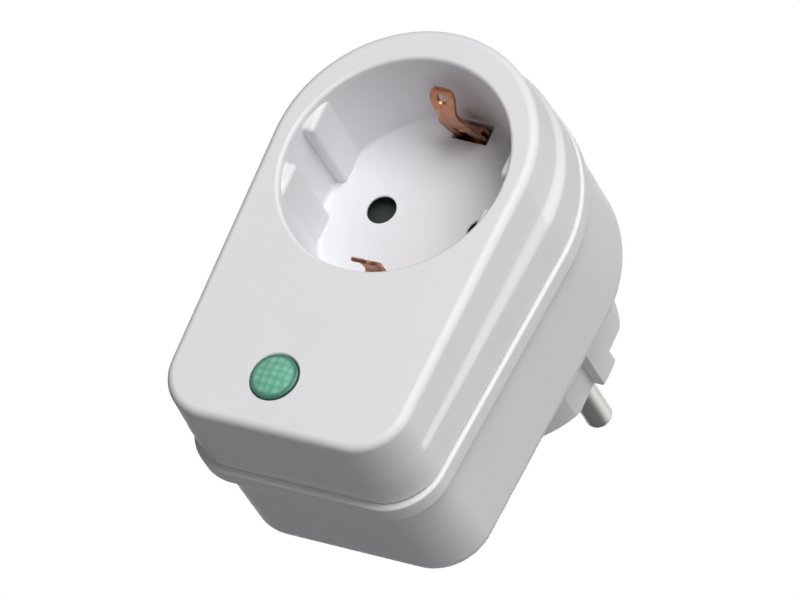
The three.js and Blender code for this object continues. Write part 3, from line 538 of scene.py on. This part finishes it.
def makeFrontShell():
    size = casing
    face, edge = size["face"], size["faceRound"]
    rings = softStart(face, edge, 0, 7)
    start, end = size["shoulder"]
    for i in range(1, 5):
        share = i / 4
        rings.append(keystone(mix(face, size["low"], share), edge + (start - edge) * share))
    for i in range(1, 9):
        share = i / 8
        eased = share * share * (3 - 2 * share)
        rings.append(keystone(mix(size["low"], size["high"], eased), start + (end - start) * share))
    rim, soft, last = size["frontEnd"], size["frontEndRound"], size["frontDepth"]
    for share in (0.5, 1.0):
        rings.append(keystone(mix(size["high"], rim, share), end + (last - soft - end) * share))
    rings += softEnd(rim, soft, last, 3)[1:]
    shell = sweep("frontShell", rings)
    lip = inset(size["rear"], size["wall"] + size["gap"])
    weld(shell, tunnel("lip", lip, size["lipStart"], size["lipEnd"]))
    wall = size["wall"]
    cut(shell, sweep("hollow", [
        keystone(inset(face, wall), size["faceThickness"]),
        keystone(inset(size["low"], wall), start),
        keystone(inset(size["high"], wall), end),
        keystone(inset(rim, wall), size["lipStart"]),
    ]))
    cut(shell, tunnel("lipHollow", inset(lip, size["lipThickness"]), size["lipStart"] - 0.1, size["lipEnd"] + past))
    for x, z in size["posts"]:
        weld(shell, rod("post", size["postRadius"], size["faceThickness"] - sunk, size["postEnd"], x, z))
    for x, z in size["posts"]:
        cut(shell, rod("pilot", size["shank"], size["pilotStart"], size["postEnd"] + past, x, z, 24))
    cut(shell, socketMouth(), lensHole())
    return finishPiece(shell, "abs", "casing", ["front_shell"])


socket = {
    "radius": 20.0, "floorRadius": 19.7, "depth": 18.6, "floorRound": 0.9, "rimRound": 0.7, "rimDepth": 1.5,
    "cupFront": 1.53, "cupRadius": 21.5, "floorBack": 20.4, "sides": 144,
    "pinX": 9.5, "pinHole": 2.6, "pinEdge": 0.12, "relief": 3.9, "reliefStep": 0.4,
    "flat": 17.7, "flatHalf": 10.0, "flatRound": 0.9, "wayHalf": 3.0,
    "slotHalf": 3.3, "slotInner": 15.5, "slotOuter": 19.2, "slotRise": 1.5,
    "bossX": 17.3, "bossRadius": 2.2, "bossEnd": 24.0, "bossHole": 1.0, "axleRadius": 2.0, "axleEnd": 25.7,
    "earRadius": 6.05,
}


def socketMouth():
    radius, soft = socket["radius"], socket["rimRound"]
    seat = socket["cupRadius"] + casing["gap"]
    rings = [(radius + soft, -past), (radius + soft, -0.005)]
    rings += [(radius + soft * (1 - math.sin(a)), soft * (1 - math.cos(a))) for a in quarter(5)]
    rings += [(radius, socket["rimDepth"]), (seat, socket["rimDepth"]), (seat, casing["faceThickness"] + past)]
    return turned("mouth", rings, sides=socket["sides"])


def lensHole():
    x, z = lens["centre"]
    edge = lens["holeEdge"]
    radius = lens["radius"] + edge
    rings = [(radius + edge, -past), (radius + edge, 0), (radius, edge), (radius, lens["holeEnd"])]
    return turned("lensHole", rings, x, z, lens["sides"])


def makeSocketCup():
    size = socket
    cup = rod("socketCup", size["cupRadius"], size["cupFront"], size["floorBack"], sides=size["sides"])
    root = size["floorBack"] - sunk
    for side in (-1, 1):
        weld(cup, rod("boss", size["bossRadius"], root, size["bossEnd"], side * size["bossX"]))
    weld(cup, rod("axle", size["axleRadius"], root, size["axleEnd"]))
    for x, z in casing["posts"][:2]:
        weld(cup, cupEar(x, z))
    soft = size["floorRound"]
    recess = [(size["radius"], 0), (size["radius"], size["cupFront"])]
    recess += [(size["floorRadius"] - soft * (1 - math.cos(a)), size["depth"] - soft * (1 - math.sin(a)))
               for a in quarter(5)]
    cut(cup, turned("recess", recess, sides=size["sides"]))
    for side in (-1, 1):
        for end in (-1, 1):
            weld(cup, sideFlat(side, end))
    for side in (-1, 1):
        cut(cup, socketPinHole(side))
        pilotStart = size["floorBack"] + size["reliefStep"]
        cut(cup, rod("screwHole", size["bossHole"], pilotStart, size["bossEnd"] + past,
                     side * size["bossX"], sides=24))
        cut(cup, block("floorSlot", (-size["slotHalf"], size["slotHalf"]),
                       (size["depth"] - size["slotRise"], size["floorBack"] + past),
                       (side * size["slotInner"], side * size["slotOuter"])))
    # the cup takes the darker copy of the white ABS, painted shade for the recess
    return finishPiece(cup, "cupAbsPaintedShade", "casing", ["socket_cup"])


def socketPinHole(side):   # wider behind the floor, so that only its front edge shows
    size = socket
    radius, edge, step = size["pinHole"], size["pinEdge"], size["reliefStep"]
    front, back = size["depth"], size["floorBack"]
    rings = [(radius + edge, front - past), (radius + edge, front), (radius, front + edge), (radius, front + step),
             (size["relief"], back - step), (size["relief"], back + past)]
    return turned("pinHole", rings, side * size["pinX"], 0, 56)


def sideFlat(side, end):   # one of the four flats, beside the way for a plug's rib
    size = socket
    flat = block("flat", (side * size["flat"], side * (size["cupRadius"] + past)),
                 (size["cupFront"] + 0.05, size["depth"] + 0.6),
                 (end * size["wayHalf"], end * size["flatHalf"]))
    roundEdges(flat, size["flatRound"], 5)
    around = rod("around", size["cupRadius"] - casing["gap"], size["cupFront"] - past, size["depth"] + past,
                 sides=size["sides"])
    combine(flat, around, "INTERSECT")
    return flat


def cupEar(x, z):   # what joins the cup to a casing post
    size = socket
    start, end = size["depth"] - past, size["floorBack"] + past
    ear = rod("ear", size["earRadius"], size["depth"] + 0.1, size["floorBack"] - 0.1, x, z, 48)
    room = inset(casing["rear"], casing["wall"] + 2 * casing["gap"] + casing["lipThickness"])
    combine(ear, tunnel("room", room, start, end), "INTERSECT")
    cut(ear, rod("earHole", casing["postRadius"] + casing["gap"], start, end, x, z))
    return ear


plug = {
    "radius": 18.5, "cavity": 16.0, "endInside": 59.0, "round": 0.8, "ribHalf": 2.3, "flat": 16.2,
    "channelHalf": 2.8, "channelFloor": 15.6, "channelRoot": 3.0, "land": 1.5, "slotTop": 16.8,
    "holderPostZ": 9.0, "holderPostRadius": 2.3, "holderBack": 57.2, "pinHole": 2.6, "pinEdge": 0.2,
}
inner = {
    "carrierX": 19.2, "carrierBack": 36.3, "postRadius": 2.3, "postHole": 1.0, "standoffX": 15.5,
    "standoffZ": -28.05, "boardBack": 27.6, "boardHole": 9.0, "carrierHole": 0.6,
}


def makeRearShell():
    size = casing
    start, back, soft = size["frontDepth"] + size["gap"], size["backFace"], size["backRound"]
    end = start + size["bandWidth"]
    rings = softStart(size["band"], size["bandRound"], start, 4) + softEnd(size["band"], size["bandRound"], end, 4)
    for share in (0, 0.33, 0.66):
        depth = end + size["bandStep"] + (back - soft - end) * share
        rings.append(keystone(mix(size["rear"], size["back"], share), depth))
    shell = sweep("rearShell", rings + softEnd(size["back"], soft, back, 9))
    edge = plug["round"]
    barrel = [(plug["radius"], back - past), (plug["radius"], plugEnd - edge)]
    barrel += [(plug["radius"] - edge * (1 - math.cos(a)), plugEnd - edge + edge * math.sin(a))
               for a in quarter(5)[1:]]
    weld(shell, turned("barrel", barrel, sides=socket["sides"]))
    wall = size["wall"]
    cut(shell, sweep("hollow", [keystone(inset(size["rear"], wall), start - past),
                                keystone(inset(size["back"], wall), size["backInside"])]))
    addRearPosts(shell)
    cut(shell, plugCavity())
    cut(shell, *plugFlats(), *earthChannels())
    for side in (-1, 1):
        weld(shell, rod("holderPost", plug["holderPostRadius"], plug["holderBack"] + size["gap"],
                        plug["endInside"] + sunk, 0, side * plug["holderPostZ"]))
    cutRearHoles(shell)
    return finishPiece(shell, "abs", "casing", ["rear_shell"])


def addRearPosts(shell):
    size = casing
    gap, root = size["gap"], size["backFace"] - past
    seat = size["backFace"] - size["sinkDepth"]
    for x, z in size["posts"]:
        weld(shell, rod("post", size["postRadius"], size["postEnd"] + gap, root, x, z))
        weld(shell, rod("postHead", size["sinkRadius"] + size["sinkWall"], seat - size["sinkWall"], root, x, z, 40))
    for side in (-1, 1):
        weld(shell, rod("carrierPost", inner["postRadius"], inner["carrierBack"] + gap, root,
                        side * inner["carrierX"]))
        weld(shell, rod("standoff", inner["postRadius"], inner["boardBack"] + gap, root,
                        side * inner["standoffX"], inner["standoffZ"]))


def cutRearHoles(shell):
    size = casing
    back, seat, edge = size["backFace"], size["backFace"] - size["sinkDepth"], 0.25
    for x, z in size["posts"]:
        mouth = [(size["sinkRadius"], seat), (size["sinkRadius"], back - edge), (size["sinkRadius"] + edge, back),
                 (size["sinkRadius"] + edge, back + past)]
        cut(shell, turned("sink", mouth, x, z, 48))
        cut(shell, rod("shaft", size["shank"] + size["play"], size["postEnd"], back, x, z, 24))
    holes = [(side * inner["carrierX"], 0, inner["carrierBack"], size["backInside"] + inner["carrierHole"])
             for side in (-1, 1)]
    holes += [(side * inner["standoffX"], inner["standoffZ"], inner["boardBack"],
               inner["boardBack"] + inner["boardHole"]) for side in (-1, 1)]
    holes += [(0, side * plug["holderPostZ"], plug["holderBack"], plugEnd - past) for side in (-1, 1)]
    for x, z, near, far in holes:
        cut(shell, rod("smallHole", inner["postHole"], near, far, x, z, 24))
    radius, edge = plug["pinHole"], plug["pinEdge"]
    for side in (-1, 1):
        hole = [(radius, plug["endInside"] - past), (radius, plugEnd - edge), (radius + edge, plugEnd),
                (radius + edge, plugEnd + past)]
        cut(shell, turned("pinHole", hole, side * socket["pinX"], 0, 48))


def plugCavity():
    size = plug
    cavity = rod("cavity", size["cavity"], casing["backInside"] - past, size["endInside"], sides=96)
    channel = size["channelHalf"] + size["land"]
    deep = (casing["backInside"] + apart, plugEnd)
    for side in (-1, 1):
        sideways = (side * (size["flat"] - size["land"]), side * size["radius"])
        upward = (side * (size["channelFloor"] - size["land"]), side * size["radius"])
        cut(cavity, block("land", sideways, deep, (-size["radius"], size["radius"])))
        cut(cavity, block("land", (-channel, channel), deep, upward))
    return cavity


def plugFlats():
    size = plug
    outside = size["radius"] + past
    deep = (casing["backFace"] + apart, plugEnd + past)
    return [block("flat", (side * size["flat"], side * outside), deep, (end * size["ribHalf"], end * outside))
            for side in (-1, 1) for end in (-1, 1)]


def earthChannels():
    size = plug
    half, inside = size["channelHalf"], 0.02     # the slot stays just inside the channel
    deep = (casing["backFace"] + apart, plugEnd + past)
    through = (casing["backInside"] - size["channelRoot"], casing["backFace"] + past)
    tools = []
    for side in (-1, 1):
        low = side * size["channelFloor"]
        tools.append(block("channel", (-half, half), deep, (low, side * (size["radius"] + past))))
        tools.append(block("slot", (inside - half, half - inside), through,
                           (low + side * inside, side * size["slotTop"])))
    return tools


makeFrontShell()
print("front shell made")
makeSocketCup()
print("socket cup made")
makeRearShell()
print("rear shell made")


def makeLens():
    x, z = lens["centre"]
    radius, brim = lens["radius"], lens["brim"]
    seat = casing["faceThickness"] + casing["gap"]
    back, wide = seat + lens["flange"], radius + lens["flangeReach"]
    field, step, steps = radius - brim, lens["brimStep"], 14
    rings = [(0.02, -lens["dome"])]
    rings += [(field * i / steps, -lens["dome"] * math.cos(math.pi / 2 * i / steps * 0.72))
              for i in range(1, steps + 1)]
    rings += [(field + 0.15, -step), (radius - 0.2, -step), (radius - 0.05, -0.2), (radius, 0.0), (radius, seat),
              (wide, seat), (wide, back), (lens["well"], back), (lens["well"], lens["wellDepth"]),
              (0.05, lens["wellDepth"])]
    piece = turned("indicatorLens", rings, x, z, lens["sides"])
    return finishPiece(piece, "lens", "casing", ["indicator_lens"], 40)


makeLens()

earthSpring = {
    "width": 6.0, "thickness": 0.6, "back": 17.6, "inner": 14.9, "foot": 37.2, "footZ": 15.6, "tip": 3.4,
    "forkHalf": 1.0, "forkStart": 13.6, "forkEnd": 22.4, "eye": 0.95, "eyeDepth": 5.0, "soft": 0.12,
    "fold": ((19.8, 17.5, 1), (17.3, 17.5, 1), (16.4, 17.25, 1), (15.8, 16.8, 1), (15.5, 16.1, 1), (15.4, 15.7, 1)),
}


def stripRings(path, width, thickness):   # cross-sections of a bent strip; path has depth, z and width share
    rings = []
    for i, (depth, z, share) in enumerate(path):
        before, after = path[max(i - 1, 0)], path[min(i + 1, len(path) - 1)]
        along = Vector((after[0] - before[0], after[1] - before[1])).normalized()
        out = Vector((-along.y, along.x)) * thickness / 2
        half = width * share / 2
        rings.append([place(x, depth + side * out.x, z + side * out.y)
                      for x, side in ((-half, -1), (half, -1), (half, 1), (-half, 1))])
    return rings


def smoothPath(points, steps):   # Catmull-Rom through the corners of a bend
    path = []
    for i in range(len(points) - 1):
        p0, p1 = points[max(i - 1, 0)], points[i]
        p2, p3 = points[i + 1], points[min(i + 2, len(points) - 1)]
        for j in range(steps):
            t = j / steps
            path.append(tuple(
                0.5 * (2 * b + (c - a) * t + (2 * a - 5 * b + 4 * c - d) * t * t
                       + (3 * b - a - 3 * c + d) * t ** 3)
                for a, b, c, d in zip(p0, p1, p2, p3)))
    path.append(points[-1])
    return path


def makeEarthSpring():
    size = earthSpring
    inner = size["inner"]
    corners = [
        (size["foot"], size["footZ"], 0.9), (size["foot"], size["back"] - 0.5, 0.9),
        (size["foot"] - 0.6, size["back"], 0.9), (30, size["back"], 0.9), (23, size["back"], 0.92),
        (20.4, inner + 2.0, 1), (18.6, inner + 1.5, 1), (15, inner + 0.7, 1), (12, inner + 0.2, 0.95),
        (9, inner, 0.6), (6.5, inner + 0.3, 0.72), (4.9, inner + 1.0, 0.77), (3.9, inner + 1.55, 0.65),
        (size["tip"], inner + 1.85, 0.45),
    ]
    spring = sweep("earthSpringUpper", stripRings(smoothPath(corners, 4), size["width"], size["thickness"]))
    fork = size["forkHalf"]
    cut(spring, block("fork", (-fork, fork), (size["forkStart"], size["forkEnd"]), (inner - 2, inner + 4)))
    weld(spring, sweep("fold", stripRings(size["fold"], size["width"], size["thickness"])))
    eye = rod("eye", size["eye"], -3, 3, sides=24)
    upright = Matrix.Rotation(math.pi / 2, 4, "X") @ Matrix.Translation(-place(0, 0, 0))
    eye.matrix_world = Matrix.Translation(place(0, size["eyeDepth"], inner + 1)) @ upright
    cut(spring, eye)
    roundEdges(spring, size["soft"], 2, 50)
    return spring


def copyTurned(piece, name, turn):   # its own mesh, turned about the depth axis
    twin = piece.copy()
    twin.data = piece.data.copy()
    twin.name = name
    bpy.context.collection.objects.link(twin)
    twin.matrix_world = Matrix.Rotation(turn, 4, "Y")
    return twin


springUpper = makeEarthSpring()
springLower = copyTurned(springUpper, "earthSpringLower", math.pi)
finishPiece(springUpper, "bronze", "upper_earth_spring", ["earth_spring_upper"])
finishPiece(springLower, "bronze", "lower_earth_spring", ["earth_spring_lower"])
print("earth springs made")

pin = {
    "radius": 2.4, "length": 19.0, "nose": 1.7, "noseFlat": 0.25, "stubFront": 53.5, "stub": 1.8, "stubEdge": 0.2,
    "collar": 3.8, "collarFront": 57.5, "collarBack": 58.7, "collarEdge": 0.15,
}


def makePin(side, name):
    size = pin
    tip, nose, flat = plugEnd + size["length"], size["nose"], size["noseFlat"]
    stub, collar, edge = size["stub"], size["collar"], size["collarEdge"]
    rings = [(stub - size["stubEdge"], size["stubFront"]), (stub, size["stubFront"] + size["stubEdge"]),
             (stub, size["collarFront"]), (collar - edge, size["collarFront"]),
             (collar, size["collarFront"] + edge), (collar, size["collarBack"] - edge),
             (collar - edge, size["collarBack"]),
             (size["radius"], size["collarBack"]), (size["radius"], tip - nose)]
    rings += [(flat + (size["radius"] - flat) * math.cos(a), tip - nose + nose * math.sin(a))
              for a in quarter(7)[1:]]
    piece = turned(name, rings, side * socket["pinX"], 0, 56)
    replaced = "plug_pin_left" if side < 0 else "plug_pin_right"
    return finishPiece(piece, "nickel", "casing", [replaced])


makePin(-1, "plugPinLeft")
makePin(1, "plugPinRight")

strip = {
    "width": 5.0, "thickness": 0.8, "z": 16.2, "footZ": 11.2, "foot": 39.3, "end": 60.9, "rivetZ": 13.2,
    "hole": 1.0, "soft": 0.15,
}


def makeEarthStrip():
    size = strip
    foot, z, end = size["foot"], size["z"], size["end"]
    corners = [(foot, size["footZ"], 1), (foot, z - 0.9, 1), (foot + 0.3, z - 0.25, 1), (foot + 0.9, z, 1),
               (45, z, 1), (end - 1, z, 1), (end, z, 0.9)]
    piece = sweep("plugEarthStripUpper", stripRings(corners, size["width"], size["thickness"]))
    cut(piece, rod("rivetHole", size["hole"], foot - 2, foot + 2, 0, size["rivetZ"], 24))
    roundEdges(piece, size["soft"], 2, 50)
    return piece


stripUpper = makeEarthStrip()
stripLower = copyTurned(stripUpper, "plugEarthStripLower", math.pi)
finishPiece(stripUpper, "nickel", "casing", ["plug_earth_strip_upper"])
finishPiece(stripLower, "nickel", "casing", ["plug_earth_strip_lower"])
print("pins and strips made")

kept = {
    "led": ["indicator_led"],
    "zinc": ["case_screw_1", "case_screw_2", "case_screw_3", "case_screw_4", "carrier_screw_left",
             "carrier_screw_right", "cover_screw_left", "cover_screw_right", "board_screw_left",
             "board_screw_right", "holder_screw_upper", "holder_screw_lower"],
    "brass": ["socket_contact_left", "socket_contact_right", "busbar_left", "busbar_right", "earth_rail",
              "earth_rivet_upper", "earth_rivet_lower"],
    "thermoset": ["contact_carrier", "pin_holder", "shutter_cover"],
    "dark": ["shutter_plate"],
    "springSteel": ["shutter_spring"],
    "board": ["circuit_board"],
    "capacitor": ["film_capacitor"],
    "varistor": ["varistor_1", "varistor_2", "varistor_3"],
    "glass": ["glass_fuse"],
    "ceramic": ["thermal_fuse"],
    "resistor": ["resistor_1", "resistor_2"],
    "brownPvc": ["lead_live"],
    "bluePvc": ["lead_neutral"],
    "earthPvc": ["lead_earth"],
}
for material, names in kept.items():
    for name in names:
        part = nodes[name]
        part.data.materials.clear()
        part.data.materials.append(materials[material])
print("kept parts finished")
